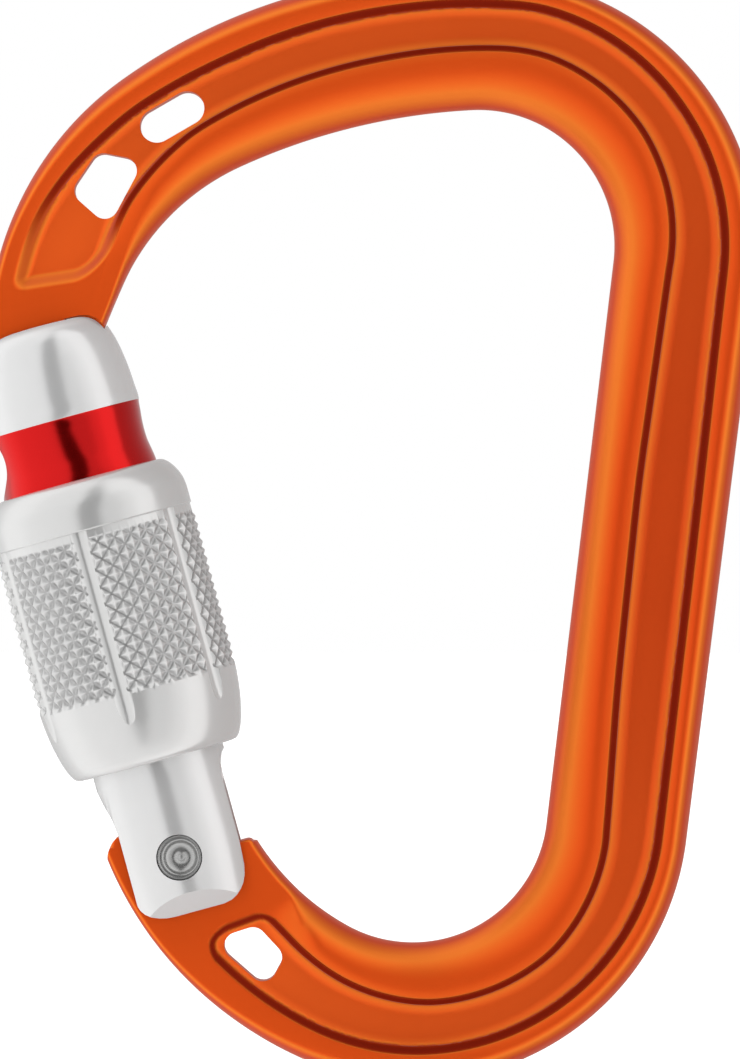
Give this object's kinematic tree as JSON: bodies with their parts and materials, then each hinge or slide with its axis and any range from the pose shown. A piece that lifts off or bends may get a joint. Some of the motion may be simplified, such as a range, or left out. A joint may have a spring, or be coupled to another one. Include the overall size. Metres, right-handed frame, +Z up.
{
  "type": "locking carabiner",
  "caption": "Pear-shaped screw-lock carabiner: a pocketed orange ring with a sprung silver gate on a rivet, a red band on the gate and a knurled locking sleeve.",
  "frame": {"origin": "the middle of the whole object's box, gate closed and sleeve unlocked", "axes": "+Z up the spine towards the wide end, -Y out of the front face, +X from the gate towards the spine"},
  "size_m": [0.0762, 0.02, 0.1085],
  "materials": {
    "frame": "orange anodised, satin, worn to bare metal on the rounded edges",
    "gate": "bright anodised, with a red anodised band in the recess that the sleeve covers when it is locked",
    "rivet": "stainless steel, dished heads",
    "plunger": "ground steel",
    "spring": "drawn spring wire",
    "sleeve": "satin anodised with a diamond knurl and six flutes",
    "ring": "natural nylon"
  },
  "bodies": {
    "frame": {"frame_body": "frame"},
    "gate": {"gate_body": "gate", "gate_rivet": "rivet", "return_spring": "spring"},
    "plunger": {"spring_plunger": "plunger"},
    "sleeve_carrier": {"friction_ring": "ring"},
    "sleeve": {"locking_sleeve": "sleeve"}
  },
  "joints": [
    {"name": "gate_hinge", "type": "hinge", "parent": "frame", "child": "gate", "pos_m": [-0.01861, 0, -0.03206], "axis": [0, 1, 0], "range_deg": [0, 27]},
    {"name": "plunger_slide", "type": "slide", "parent": "gate", "child": "plunger", "axis": [-0.2645, 0, 0.9644], "range_m": [0, 0.00101], "deforming": ["return_spring"]},
    {"name": "sleeve_travel", "type": "slide", "parent": "gate", "child": "sleeve_carrier", "axis": [-0.2645, 0, 0.9644], "range_m": [0, 0.009]},
    {"name": "sleeve_turn", "type": "hinge", "parent": "sleeve_carrier", "child": "sleeve", "pos_m": [-0.01839, 0, -0.032], "axis": [-0.2645, 0, 0.9644], "range_deg": [0, 1080.1]}
  ],
  "couplings": [
    {"joint": "plunger_slide", "follows": "gate_hinge", "m_per_rad": 0.0021221},
    {"joint": "sleeve_turn", "follows": "sleeve_travel", "rad_per_m": 2094.4}
  ]
}
